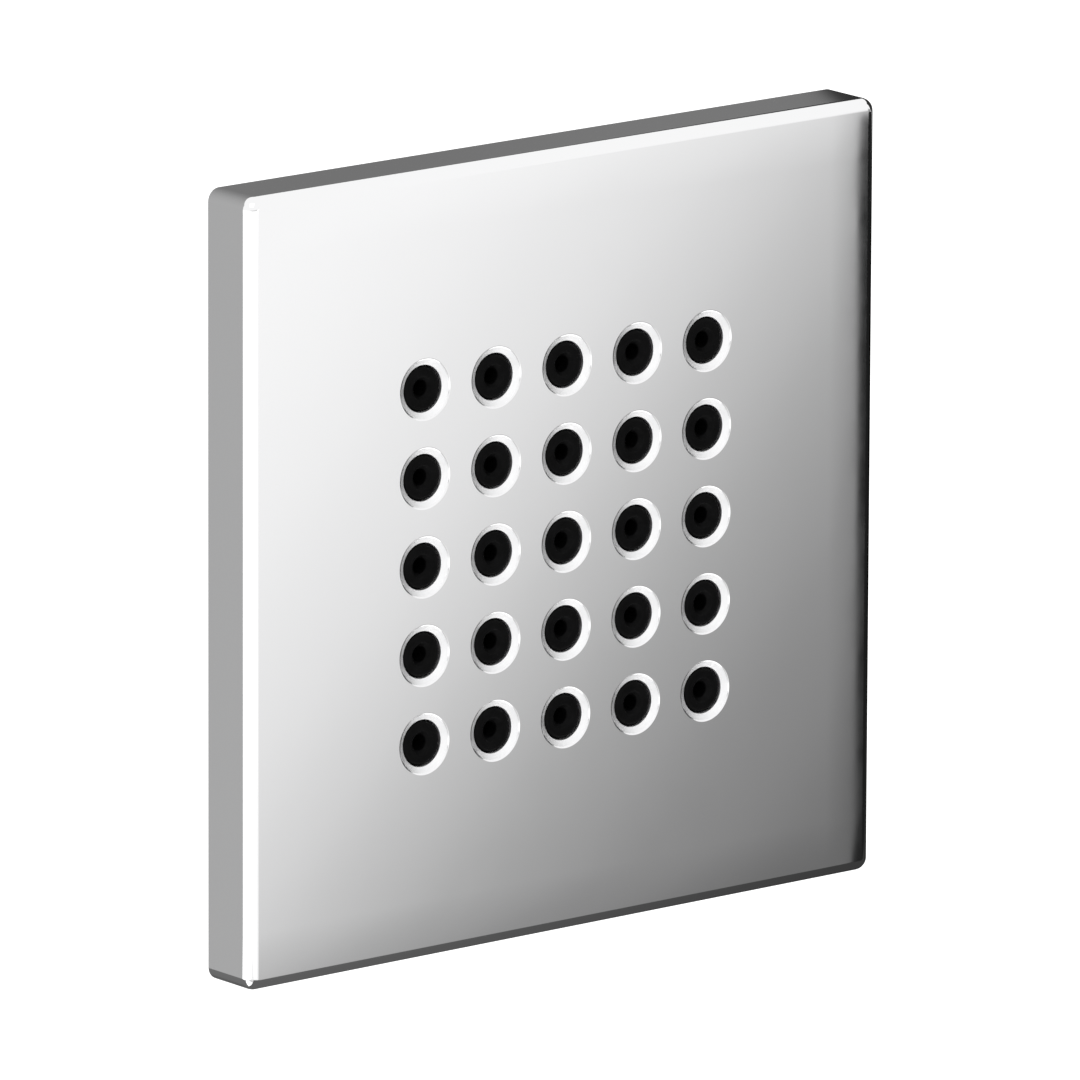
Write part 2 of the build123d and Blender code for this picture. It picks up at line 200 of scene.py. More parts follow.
class BodyJetInlet(bpy.types.PropertyGroup):
    """Sizes of the inlet nipple, the screws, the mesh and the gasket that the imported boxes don't give."""

    spigot_diameter: length("Spigot diameter", "Part that turns in the hub", 0.0179)
    spigot_lead: length("Spigot lead", "Chamfer at the front of the spigot", 0.0006)
    slide_groove: length("Slide groove", "Diameter under the slide ring", 0.01608)
    seal_groove: length("Seal groove", "Diameter under the seal", 0.0146)
    snap_groove: length("Snap groove", "Diameter under the snap ring", 0.0153)
    groove_gap: length("Groove gap", "Room beside a ring in its groove", 0.00005)
    snap_gap: length("Snap gap", "Room beside the snap ring in its groove", 0.0003)
    key_size: length("Key size", "Across the flats of the key socket", 0.010)
    key_depth: length("Key depth", "Depth of the key socket", 0.010)
    bore: length("Bore", "Water way of the nipple", 0.0095)
    insert_gap: length("Insert gap", "Room round the restrictor in the inlet", 0.0001)
    collar_length: length("Collar length", "Plain band between the washer and the undercut", 0.0010)
    undercut_width: length("Undercut width", "Groove where the thread starts", 0.001714)
    thread_pitch: length("Thread pitch", "Half-inch pipe thread, 14 turns to the inch", 0.001814)
    thread_depth: length("Thread depth", "From crest to root", 0.001162)
    thread_run_out: length("Thread run-out", "How far undercut and end chamfer reach below the root", 0.00005)
    thread_steepness: bpy.props.FloatProperty(
        name="Thread steepness", description="Slope of the flanks against a plain triangle", default=1.5
    )
    screw_head: length("Screw head", "Diameter of a screw head", 0.0046)
    screw_head_height: length("Screw head height", "Height of a screw head", 0.0018)
    screw_shank: length("Screw shank", "Diameter of a screw shank", 0.00244)
    screw_key: length("Screw key", "Across the flats of a screw's socket", 0.0015)
    screw_key_depth: length("Screw key depth", "Depth of a screw's socket", 0.0010)
    wire_pitch: length("Wire pitch", "Distance between the wires of the mesh", 0.00065)
    wire_diameter: length("Wire diameter", "Wire of the mesh", 0.00022)
    gasket_width: length("Gasket width", "Width of the foam frame", 0.0020)


class BodyJetFinish(bpy.types.PropertyGroup):
    """Colours of the finishes."""

    chrome: colour("Chrome", "Polished plate", (0.93, 0.93, 0.935))
    silicone: colour("Silicone", "Nozzles", (0.0018, 0.0018, 0.0019))
    brass: colour("Brass", "Housing and nipple", (0.78, 0.60, 0.30))
    steel: colour("Steel", "Screws, snap ring and mesh", (0.60, 0.60, 0.61))
    rubber: colour("Rubber", "Gasket and seal", (0.03, 0.03, 0.032))
    white_plastic: colour("White plastic", "Carrier, slide ring and washer", (0.80, 0.80, 0.77))
    grey_plastic: colour("Grey plastic", "Strainer frame", (0.62, 0.62, 0.60))
    green_plastic: colour("Green plastic", "Flow restrictor", (0.10, 0.33, 0.17))


class BodyJetStage(bpy.types.PropertyGroup):
    """Camera and studio."""

    azimuth: bpy.props.FloatProperty(
        name="Azimuth", description="Turn of the camera about Z", default=-0.6801, subtype="ANGLE"
    )
    elevation: bpy.props.FloatProperty(
        name="Elevation", description="Height angle of the camera", default=0.2306, subtype="ANGLE"
    )
    roll: bpy.props.FloatProperty(
        name="Roll", description="Turn of the camera about its own axis", default=0.0042, subtype="ANGLE"
    )
    distance: length("Distance", "From the plate's centre to the camera", 1.2337)
    lens: bpy.props.FloatProperty(name="Lens", description="Focal length in millimetres", default=549.4)
    aim_right: length("Aim right", "How far right of the origin the camera looks", 0.00117)
    aim_down: length("Aim down", "How far below the origin the camera looks", 0.00078)
    floor_drop: length("Floor drop", "From the plate's lower edge to the floor", 0.13)
    background: colour("Background", "Floor and backdrop", (0.90, 0.90, 0.90))


class Skin:
    """The surface of one piece: patches that share points, where each corner keeps its exact normal."""

    def __init__(self):
        self.points = []
        self.normals = []
        self.triangles = []
        self.count = 0

    def add(self, points, normals, triangles):
        """Takes a patch as (n, 3) points and normals, with its triangles wound alike, and turns them all to
        face along the normals."""
        a, b, c = (points[triangles[:, corner]] for corner in range(3))
        facing = (np.cross(b - a, c - a) * normals[triangles].sum(axis=1)).sum()
        triangles = triangles[:, ::-1] if facing < 0 else triangles
        self.points.append(points)
        self.normals.append(normals)
        self.triangles.append(triangles + self.count)
        self.count += len(points)

    def grid(self, points, normals):
        """A patch on a (rows, columns) grid, whose last column joins its first."""
        rows, columns = points.shape[:2]
        here = np.arange(rows * columns).reshape(rows, columns)
        beside = np.roll(here, -1, axis=1)
        lower = np.stack([here[:-1], beside[:-1], beside[1:]], axis=-1)
        upper = np.stack([here[:-1], beside[1:], here[1:]], axis=-1)
        triangles = np.concatenate([lower.reshape(-1, 3), upper.reshape(-1, 3)])
        self.add(points.reshape(-1, 3), normals.reshape(-1, 3), triangles)

    def flat(self, loops, y, facing):
        """A flat patch at depth y, inside the first of some closed convex (n, 2) loops in X and Z and outside
        the others: a constrained Delaunay net of the loops, less the triangles that have all their corners
        on one of the other loops."""
        points = np.concatenate(loops)
        owner = np.repeat(np.arange(len(loops)), [len(loop) for loop in loops])
        here = np.arange(len(points))
        first = np.searchsorted(owner, owner)
        after = np.where(np.append(owner[1:], -1) == owner, here + 1, first)
        edges = np.stack([here, after], axis=1).tolist()
        corners = [Vector(point) for point in points.tolist()]
        faces, origins = delaunay_2d_cdt(corners, edges, [], NET_INSIDE, NET_TOLERANCE, True)[2:4]
        triangles = np.array([ids[0] for ids in origins])[np.array(faces)]
        owners = owner[triangles]
        keep = (owners[:, 0] == 0) | (owners != owners[:, :1]).any(axis=1)
        solid = np.stack([points[:, 0], np.full(len(points), y), points[:, 1]], axis=1)
        normals = np.broadcast_to((0.0, facing, 0.0), solid.shape)
        self.add(solid, normals, triangles[keep])

    def build(self, name, material):
        """Welds points that coincide, drops empty triangles and makes the object."""
        points = np.concatenate(self.points)
        normals = np.concatenate(self.normals)
        corners = np.concatenate(self.triangles)
        keys = np.round(points / WELD).astype(np.int64)
        first, same = np.unique(keys, axis=0, return_index=True, return_inverse=True)[1:]
        welded = same.reshape(-1)[corners]
        whole = (welded != np.roll(welded, 1, axis=1)).all(axis=1)
        welded, corners = welded[whole], corners[whole]
        mesh = bpy.data.meshes.new(name)
        mesh.vertices.add(len(first))
        mesh.vertices.foreach_set("co", points[first].ravel())
        mesh.loops.add(welded.size)
        mesh.loops.foreach_set("vertex_index", welded.ravel())
        mesh.polygons.add(len(welded))
        mesh.polygons.foreach_set("loop_start", np.arange(0, welded.size, 3))
        mesh.update(calc_edges=True)
        mesh.polygons.foreach_set("use_smooth", np.ones(len(welded), bool))
        mesh.normals_split_custom_set(normals[corners.ravel()].tolist())
        mesh.materials.append(material)
        piece = bpy.data.objects.new(name, mesh)
        bpy.context.scene.collection.objects.link(piece)
        return piece


def soften(corners, radii, side):
    """An open profile with rounded corners. Every inner corner becomes an arc tangent to its two legs, and a
    radius of 0 leaves it sharp. The normals are the legs' left-hand normals times side. Columns past
    the first two are carried along, and on an arc they grow with the first column, so that a corner radius
    kept there follows a parallel outline. Returns (n, columns) points and (n, 2) normals."""
    corners = np.asarray(corners, float)
    radii = np.asarray(radii, float)[:, None]
    legs = np.diff(corners[:, :2], axis=0)
    legs /= np.linalg.norm(legs, axis=1, keepdims=True)
    left = np.stack([-legs[:, 1], legs[:, 0]], axis=1)
    into, out = legs[:-1], legs[1:]
    turn = np.arctan2(into[:, 0] * out[:, 1] - into[:, 1] * out[:, 0], (into * out).sum(axis=1))[:, None]
    begin = corners[1:-1, :2] - into * radii * np.tan(abs(turn) / 2)
    angles = turn * np.linspace(0.0, 1.0, ARC_STEPS + 1)
    cos, sin = np.cos(angles), np.sin(angles)
    swung = np.stack(
        [cos * left[:-1, :1] - sin * left[:-1, 1:], sin * left[:-1, :1] + cos * left[:-1, 1:]], axis=-1
    )
    reach = (np.sign(turn) * radii)[:, None]
    arcs = begin[:, None] + reach * (left[:-1, None] - swung)
    carried = corners[1:-1, None, 2:] + arcs[..., :1] - corners[1:-1, None, :1]
    arcs = np.concatenate([arcs, carried], axis=-1).reshape(-1, corners.shape[1])
    points = np.concatenate([corners[:1], arcs, corners[-1:]])
    normals = side * np.concatenate([left[:1], swung.reshape(-1, 2), left[-1:]])
    return points, normals


def circle_loop(radius, steps=ROUND_STEPS):
    """Points and outward normals of circles, as arrays (..., steps, 2)."""
    angle = np.arange(steps) * 2 * np.pi / steps
    normal = np.stack([np.cos(angle), np.sin(angle)], axis=-1)
    radius = np.asarray(radius, float)[..., None, None]
    return radius * normal, np.broadcast_to(normal, np.broadcast_shapes(radius.shape, normal.shape))


def square_loop(half, radius):
    """Points and outward normals of squares with round corners, as arrays (..., steps, 2): a quarter circle
    at each corner, with the straight sides between them."""
    quarter = np.linspace(0.0, np.pi / 2, CORNER_STEPS + 1)
    angle = (quarter[None] + np.arange(4)[:, None] * np.pi / 2).ravel()
    normal = np.stack([np.cos(angle), np.sin(angle)], axis=-1)
    middle = (np.arange(4)[:, None] * np.pi / 2 + np.pi / 4).repeat(CORNER_STEPS + 1, axis=1).ravel()
    corner = np.sign(np.stack([np.cos(middle), np.sin(middle)], axis=-1))
    half = np.asarray(half, float)[..., None, None]
    radius = np.asarray(radius, float)[..., None, None]
    return (half - radius) * corner + radius * normal, np.broadcast_to(normal, half.shape[:-2] + normal.shape)


def rim_loop(row):
    """The loop of one (half side, depth, corner radius) row of a square profile."""
    return square_loop(row[0], row[2])[0]


def hexagon_loop(inscribed):
    """Points and side normals of a hexagon. Each side has its own two end points, so edges stay sharp."""
    facing = np.arange(6) * np.pi / 3
    normal = np.stack([np.cos(facing), np.sin(facing)], axis=-1)
    along = np.stack([-normal[:, 1], normal[:, 0]], axis=-1)
    reach = inscribed * np.tan(np.pi / 6) * np.array([-1.0, 1.0])
    points = inscribed * normal[:, None] + reach[:, None] * along[:, None]
    return points.reshape(-1, 2), np.repeat(normal, 2, axis=0)


def swept(loops, loop_normals, y, normals, centre=(0.0, 0.0)):
    """A profile carried round a loop: row k holds loop k at depth y[k], and its normals lean by the
    profile's normals, as the loop's own normal times the first part and Y times the second."""
    y = np.broadcast_to(np.asarray(y)[:, None], loops.shape[:2])
    points = np.stack([loops[..., 0] + centre[0], y, loops[..., 1] + centre[1]], axis=-1)
    across = normals[:, None, :1] * loop_normals
    lean = np.broadcast_to(normals[:, None, 1], loops.shape[:2])
    return points, np.stack([across[..., 0], lean, across[..., 1]], axis=-1)


def turned(skin, corners, radii, side, centre=(0.0, 0.0), steps=ROUND_STEPS):
    """Adds a turned surface: a softened profile of (radius, depth) points carried round a circle."""
    profile, normals = soften(corners, radii, side)
    loops, loop_normals = circle_loop(profile[:, 0], steps)
    skin.grid(*swept(loops, loop_normals, profile[:, 1], normals, centre))


def squared(skin, corners, radii, side):
    """Adds a surface carried round a square: a softened profile of (half side, depth, corner radius)."""
    profile, normals = soften(corners, radii, side)
    loops, loop_normals = square_loop(profile[:, 0], profile[:, 2])
    skin.grid(*swept(loops, loop_normals, profile[:, 1], normals))


def slopes(points):
    """Normals of a closed (rows, columns) grid: the cross product of its differences down and across."""
    down = np.gradient(points, axis=0)
    across = np.roll(points, -1, axis=1) - np.roll(points, 1, axis=1)
    normals = np.cross(down, across)
    return normals / np.linalg.norm(normals, axis=-1, keepdims=True)


def threaded(skin, inlet, major, start, end, groove):
    """Adds a screw thread as radius over (depth along Y, angle). The turns are a triangle wave w, steepened
    and rounded off as w / (1 + w^n)^(1/n) with an even power n. From below the root, a steep cone cuts it
    down at the start and a 45 degree one at the end. It is right-handed about +Y, with a root above the
    axis at the depth of the groove. The rows are closer where it starts."""
    pitch, depth = inlet.thread_pitch, inlet.thread_depth
    rows = int(round((end - start) / pitch * TURN_ROWS))
    lead = start + depth / LEAD_SLOPE
    first = np.linspace(start, lead, LEAD_ROWS, endpoint=False)
    y = np.concatenate([first, np.linspace(lead, end, rows + 1)])[:, None]
    angle = np.arange(ROUND_STEPS) * 2 * np.pi / ROUND_STEPS
    steep, power = inlet.thread_steepness, THREAD_POWER
    wave = -steep * 2 / np.pi * np.arcsin(np.sin(2 * np.pi * (y - groove) / pitch + angle))
    flank = wave / (1 + wave**power) ** (1 / power) * (1 + steep**power) ** (1 / power) / steep
    cone = major - depth - inlet.thread_run_out + np.minimum(LEAD_SLOPE * (y - start), end - y)
    radius = np.minimum(major - depth / 2 + depth / 2 * flank, cone)
    points = np.stack(
        [radius * np.cos(angle), np.broadcast_to(y, radius.shape), radius * np.sin(angle)], axis=-1
    )
    skin.grid(points, slopes(points))


def keyed(skin, size, outer, top, bottom, facing, centre=(0.0, 0.0), bore=None):
    """Adds a hexagonal key socket: the flat ring round its mouth out to a circle, its walls and its floor,
    with a round bore through the floor if one is given. facing is the way that the mouth looks along Y."""
    hexagon, side_normals = hexagon_loop(size / 2)
    corners = hexagon[::2] + centre
    skin.flat([circle_loop(outer)[0] + centre, corners], top, facing)
    loops = np.stack([hexagon, hexagon])
    inward = np.array([(-1.0, 0.0), (-1.0, 0.0)])
    skin.grid(*swept(loops, side_normals, np.array([top, bottom]), inward, centre))
    floor = [corners, circle_loop(bore)[0] + centre] if bore else [corners]
    skin.flat(floor, bottom, facing)


def nozzle_centres(plate):
    """Centres of the nozzles in X and Z, in a square grid about the axis."""
    line = (np.arange(NOZZLE_ROWS) - (NOZZLE_ROWS - 1) / 2) * plate.nozzle_pitch
    return np.stack(np.meshgrid(line, line), axis=-1).reshape(-1, 2)


def screw_centres(inlet):
    """Centres of the four screws in X and Z, at the middles of the sides."""
    reach = SCREW_HIGH.x - inlet.screw_head / 2
    return reach * np.array([(1.0, 0.0), (0.0, 1.0), (-1.0, 0.0), (0.0, -1.0)])


class Finish:
    """One procedural material: a Principled shader whose textures read Object coordinates."""

    def __init__(self, name, base, **sockets):
        self.material = bpy.data.materials.new(name)
        self.material.use_nodes = True
        self.nodes = self.material.node_tree.nodes
        self.shader = self.nodes["Principled BSDF"]
        self.shader.inputs["Base Color"].default_value = (*base, 1.0)
        for socket, value in sockets.items():
            self.shader.inputs[socket.replace("_", " ")].default_value = value
        self.place = self.nodes.new("ShaderNodeTexCoord").outputs["Object"]

    def link(self, out, into):
        self.material.node_tree.links.new(out, into)

    def node(self, kind, inputs=(), **settings):
        """A node with its settings, its inputs given as numbers or as outputs to link."""
        made = self.nodes.new("ShaderNode" + kind)
        for setting, value in settings.items():
            setattr(made, setting, value)
        for socket, value in dict(inputs).items():
            if isinstance(value, bpy.types.NodeSocket):
                self.link(value, made.inputs[socket])
            else:
                made.inputs[socket].default_value = value
        return made

    def maths(self, operation, *values):
        """The result of a Math node."""
        return self.node("Math", dict(enumerate(values)), operation=operation).outputs[0]

    def noise(self, scale, detail=3.0, roughness=0.5, vector=None):
        """Noise of a grain given in cells per metre."""
        inputs = {"Vector": vector or self.place, "Scale": scale, "Detail": detail, "Roughness": roughness}
        return self.node("TexNoise", inputs).outputs["Fac"]

    def spread(self, value, low, high, start=0.3, end=0.7):
        """A texture's value spread over a range."""
        inputs = {"Value": value, "From Min": start, "From Max": end, "To Min": low, "To Max": high}
        return self.node("MapRange", inputs).outputs["Result"]

    def tinted(self, value, dark, light):
        """Base colour between two colours. A Mix node has them at sockets 6 and 7, and the result at 2."""
        mix = self.node("Mix", {0: value}, data_type="RGBA")
        mix.inputs[6].default_value = (*dark, 1.0)
        mix.inputs[7].default_value = (*light, 1.0)
        self.link(mix.outputs[2], self.shader.inputs["Base Color"])

    def rough(self, value):
        """Roughness from a texture's value."""
        self.link(value, self.shader.inputs["Roughness"])

    def bumped(self, height, depth):
        """Relief of a depth in metres."""
        bump = self.node("Bump", {"Height": height, "Distance": depth, "Strength": 1.0})
        self.link(bump.outputs["Normal"], self.shader.inputs["Normal"])

    def rings(self, scale):
        """Noise that changes only with the radius and the depth, as the marks of a lathe do."""
        parts = self.node("SeparateXYZ", {"Vector": self.place})
        flat = self.node("CombineXYZ", {"X": parts.outputs["X"], "Y": parts.outputs["Z"]})
        radius = self.node("VectorMath", {0: flat.outputs["Vector"]}, operation="LENGTH")
        line = self.node("CombineXYZ", {"X": radius.outputs["Value"], "Y": parts.outputs["Y"]})
        return self.noise(scale, 2.0, 0.6, line.outputs["Vector"])


def shade(base, factor):
    """A colour made lighter or darker."""
    return tuple(min(1.0, part * factor) for part in base)


def chrome_finish(finish):
    """Polished chrome: a bright mirror with a faint uneven haze and the slightest waviness of polishing. The
    polish also rolls the face off at its right, upper and lower borders, by the square of the way into a
    border. The bevels of the holes and the hidden side, behind the front and inside the rim, are satin."""
    made = Finish("plate_chrome", finish.chrome, Metallic=1.0)
    place = made.node("SeparateXYZ", {"Vector": made.place}).outputs
    satin = made.spread(place["Y"], 0.0, 1.0, PLATE_LOW.y + SATIN_START, PLATE_LOW.y + SATIN_FULL)
    relief = made.maths("MULTIPLY", made.noise(150.0, 2.0), WAVINESS)
    for axis, bend, one_sided in BENDS:
        reach = made.maths("ABSOLUTE", place[axis])
        satin = made.maths("MULTIPLY", satin, made.maths("LESS_THAN", reach, GASKET_HIGH.x))
        way = place[axis] if one_sided else reach
        into = made.maths("MAXIMUM", made.maths("SUBTRACT", way, PLATE_HIGH.x - ROLL_OFF), 0.0)
        relief = made.maths("MULTIPLY_ADD", made.maths("MULTIPLY", into, into), bend, relief)
    haze = made.spread(made.noise(260.0, 4.0), 0.045, 0.075)
    grain = made.spread(made.noise(1800.0, 3.0), 0.46, 0.56)
    made.rough(made.node("Mix", {"Factor": satin, "A": haze, "B": grain}).outputs[0])
    made.bumped(relief, 1.0)
    return made.material


def silicone_finish(finish):
    """Satin black silicone with a fine moulded grain."""
    made = Finish("nozzle_silicone", finish.silicone, Specular_IOR_Level=0.06)
    mottle = made.spread(made.noise(900.0), 0.0, 1.0)
    made.tinted(mottle, shade(finish.silicone, 0.6), shade(finish.silicone, 1.6))
    made.rough(made.spread(made.noise(1500.0), 0.38, 0.55))
    made.bumped(made.noise(6000.0, 2.0), 4e-6)
    return made.material


def brass_finish(name, finish, ring_scale):
    """Turned brass: warm metal with lathe marks about the jet axis and a light uneven tarnish."""
    made = Finish(name, finish.brass, Metallic=1.0)
    tarnish = made.spread(made.noise(170.0, 5.0, 0.6), 0.0, 1.0)
    made.tinted(tarnish, shade(finish.brass, 0.82), shade(finish.brass, 1.08))
    marks = made.rings(ring_scale)
    made.rough(made.spread(marks, 0.20, 0.38))
    made.bumped(marks, 8e-6)
    return made.material


def steel_finish(name, finish, tone):
    """Stainless steel with fine drawn marks."""
    made = Finish(name, shade(finish.steel, tone), Metallic=1.0)
    grain = made.noise(2500.0, 3.0)
    streaks = made.spread(grain, 0.0, 1.0)
    made.tinted(streaks, shade(finish.steel, 0.85 * tone), shade(finish.steel, 1.1 * tone))
    made.rough(made.spread(made.noise(900.0), 0.22, 0.40))
    made.bumped(grain, 5e-6)
    return made.material


def foam_finish(finish):
    """Closed-cell foam rubber: dull, with small round cells."""
    made = Finish("gasket_foam", finish.rubber, Specular_IOR_Level=0.25)
    cells = made.node("TexVoronoi", {"Vector": made.place, "Scale": 2600.0}).outputs["Distance"]
    made.tinted(made.spread(cells, 0.0, 1.0, 0.0, 0.6), shade(finish.rubber, 0.6), shade(finish.rubber, 1.5))
    made.rough(made.spread(made.noise(1200.0), 0.75, 0.92))
    made.bumped(cells, 6e-5)
    return made.material


def rubber_finish(finish):
    """Smooth black rubber with a fine grain."""
    made = Finish("seal_rubber", shade(finish.rubber, 0.6))
    made.rough(made.spread(made.noise(1400.0), 0.40, 0.55))
    made.bumped(made.noise(5000.0), 4e-6)
    return made.material


def plastic_finish(name, base, low, high):
    """Moulded plastic: a faint flow pattern, an eroded grain and a roughness between two values."""
    made = Finish(name, base)
    made.tinted(made.spread(made.noise(120.0, 4.0), 0.0, 1.0), shade(base, 0.93), shade(base, 1.04))
    made.rough(made.spread(made.noise(700.0), low, high))
    made.bumped(made.noise(4500.0, 2.0), 5e-6)
    return made.material


def dress(node, material):
    """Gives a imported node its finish."""
    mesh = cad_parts[node].data
    mesh.materials.clear()
    mesh.materials.append(material)


class BODYJET_OT_face_plate(bpy.types.Operator):
    """Make the polished plate with its nozzle holes, gasket seat and screw bosses"""

    bl_idname = "bodyjet.face_plate"
    bl_label = "Face plate"

    def execute(self, context):
        plate = context.scene.bodyjet_plate
        half, front = PLATE_HIGH.x, PLATE_LOW.y
        floor = front + plate.face_thickness
        seat = half - plate.rim_width
        pocket = seat - plate.ledge_width
        soft = PLATE_SOFT
        lead = plate.edge_radius + EDGE_FLAT
        skin = Skin()
        outline = [
            (half - lead, front, plate.corner_radius - lead),
            (half, front, plate.corner_radius),
            (half, PLATE_HIGH.y, plate.corner_radius),
            (seat, PLATE_HIGH.y, plate.pocket_radius),
            (seat, GASKET_LOW.y, plate.pocket_radius),
            (pocket, GASKET_LOW.y, plate.pocket_radius),
            (pocket, floor, plate.pocket_radius),
            (pocket - 4 * soft, floor, plate.pocket_radius - 4 * soft),
        ]
        squared(skin, outline, [plate.edge_radius, soft, soft, soft, soft, 2 * soft], -1.0)

        hole = plate.hole_diameter / 2
        mouth = hole + plate.hole_chamfer
        bevel = MAT_LOW.y
        rims, backs = [], []
        for centre in nozzle_centres(plate):
            wall = [(mouth + soft, front), (mouth, front), (hole, bevel), (hole, floor)]
            wall.append((hole + soft, floor))
            turned(skin, wall, [soft, soft / 2, 0.0], 1.0, centre)
            rims.append(circle_loop(mouth + soft)[0] + centre)
            backs.append(circle_loop(hole + soft)[0] + centre)

        boss, bore = plate.boss_diameter / 2, plate.boss_hole / 2
        top = floor + plate.boss_height
        for centre in screw_centres(context.scene.bodyjet_inlet):
            wall = [(boss + 3 * soft, floor), (boss, floor), (boss, top), (bore, top)]
            wall += [(bore, top - plate.boss_hole_depth), (0.0, top - plate.boss_hole_depth)]
            turned(skin, wall, [2 * soft, soft, soft, 0.0], -1.0, centre)
            backs.append(circle_loop(boss + 3 * soft)[0] + centre)
        skin.flat([rim_loop(outline[0]), *rims], front, -1.0)
        skin.flat([rim_loop(outline[-1]), *backs], floor, 1.0)
        piece = skin.build("polished_face_plate", chrome_finish(context.scene.bodyjet_finish))
        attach(piece, "head")
        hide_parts("face_plate")
        return {"FINISHED"}


class BODYJET_OT_nozzle_mat(bpy.types.Operator):
    """Make the black silicone mat with its round-lipped nozzles"""

    bl_idname = "bodyjet.nozzle_mat"
    bl_label = "Nozzle mat"

    def execute(self, context):
        plate = context.scene.bodyjet_plate
        half, tip, back = MAT_HIGH.x, MAT_LOW.y, MAT_HIGH.y
        floor = PLATE_LOW.y + plate.face_thickness
        soft, lip = MAT_SOFT, LIP_ROUND
        skin = Skin()
        outline = [
            (half - 2 * soft, floor, plate.mat_radius - 2 * soft),
            (half, floor, plate.mat_radius),
            (half, back, plate.mat_radius),
            (half - 2 * soft, back, plate.mat_radius - 2 * soft),
        ]
        squared(skin, outline, [soft, soft], -1.0)
        outer = plate.hole_diameter / 2 - plate.nozzle_clearance
        bore = plate.nozzle_bore / 2
        fronts, backs = [], []
        for centre in nozzle_centres(plate):
            wall = [(outer + soft, floor), (outer, floor), (outer, tip), (bore + lip, tip)]
            wall += [(bore, tip + lip), (bore, back), (bore + soft, back)]
            turned(skin, wall, [0.0, lip, lip / 2, lip / 2, 0.0], 1.0, centre, NOZZLE_STEPS)
            fronts.append(circle_loop(outer + soft, NOZZLE_STEPS)[0] + centre)
            backs.append(circle_loop(bore + soft, NOZZLE_STEPS)[0] + centre)
        skin.flat([rim_loop(outline[0]), *fronts], floor, -1.0)
        skin.flat([rim_loop(outline[-1]), *backs], back, 1.0)
        piece = skin.build("silicone_nozzles", silicone_finish(context.scene.bodyjet_finish))
        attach(piece, "head")
        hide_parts("nozzle_mat")
        return {"FINISHED"}


class BODYJET_OT_inlet_nipple(bpy.types.Operator):
    """Make the turned nipple with its grooves, key socket and pipe thread"""

    bl_idname = "bodyjet.inlet_nipple"
    bl_label = "Inlet nipple"

    def execute(self, context):
        inlet = context.scene.bodyjet_inlet
        front, end, shoulder = NIPPLE_LOW.y, NIPPLE_HIGH.y, WASHER_HIGH.y
        spigot, lead, bore = inlet.spigot_diameter / 2, inlet.spigot_lead, inlet.bore / 2
        cup = RESTRICTOR_HIGH.x + inlet.insert_gap
        major = NIPPLE_HIGH.x
        root = major - inlet.thread_depth - inlet.thread_run_out
        soft = NIPPLE_SOFT
        skin = Skin()
        outside = [(spigot - lead - 2 * soft, front), (spigot - lead, front), (spigot, front + lead)]
        rings = (
            (inlet.slide_groove, SLIDE_LOW.y, SLIDE_HIGH.y, inlet.groove_gap),
            (inlet.seal_groove, SEAL_LOW.y, SEAL_HIGH.y, inlet.groove_gap),
            (inlet.snap_groove, SNAP_LOW.y, SNAP_HIGH.y, inlet.snap_gap),
        )
        for diameter, ring_front, ring_back, gap in rings:
            outside += [(spigot, ring_front - gap), (diameter / 2, ring_front - gap)]
            outside += [(diameter / 2, ring_back + gap), (spigot, ring_back + gap)]
        collar = shoulder + inlet.collar_length
        start = collar + inlet.undercut_width
        outside += [(spigot, shoulder), (major, shoulder), (major, collar), (root, collar), (root, start)]
        turned(skin, outside, [soft] * (len(outside) - 2), -1.0)
        threaded(skin, inlet, major, start, end, (collar + start) / 2)
        key_floor = front + inlet.key_depth
        inside = [(root, end), (cup, end), (cup, RESTRICTOR_LOW.y)]
        inside += [(bore, RESTRICTOR_LOW.y), (bore, key_floor)]
        turned(skin, inside, [2 * soft, soft, soft], -1.0)
        keyed(skin, inlet.key_size, spigot - lead - 2 * soft, front, key_floor, -1.0, bore=bore)
        brass = brass_finish("nipple_brass", context.scene.bodyjet_finish, 3400.0)
        piece = skin.build("turned_inlet_nipple", brass)
        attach(piece, "inlet")
        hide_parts("inlet_nipple")
        return {"FINISHED"}


class BODYJET_OT_screws(bpy.types.Operator):
    """Make the four pan-head screws with their key sockets"""

    bl_idname = "bodyjet.screws"
    bl_label = "Housing screws"

    def execute(self, context):
        inlet = context.scene.bodyjet_inlet
        head, shank = inlet.screw_head / 2, inlet.screw_shank / 2
        top, tip = SCREW_HIGH.y, SCREW_LOW.y
        seat = top - inlet.screw_head_height
        crown, soft = SCREW_CROWN * head, SCREW_SOFT
        skin = Skin()
        for centre in screw_centres(inlet):
            body = [(crown, top), (head, top), (head, seat), (shank, seat), (shank, tip), (0.0, tip)]
            turned(skin, body, [head - crown, soft, soft, 3 * soft], 1.0, centre)
            keyed(skin, inlet.screw_key, crown, top, top - inlet.screw_key_depth, 1.0, centre)
        steel = steel_finish("screw_steel", context.scene.bodyjet_finish, 1.0)
        piece = skin.build("pan_head_screws", steel)
        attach(piece, "head")
        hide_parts("housing_screws")
        return {"FINISHED"}


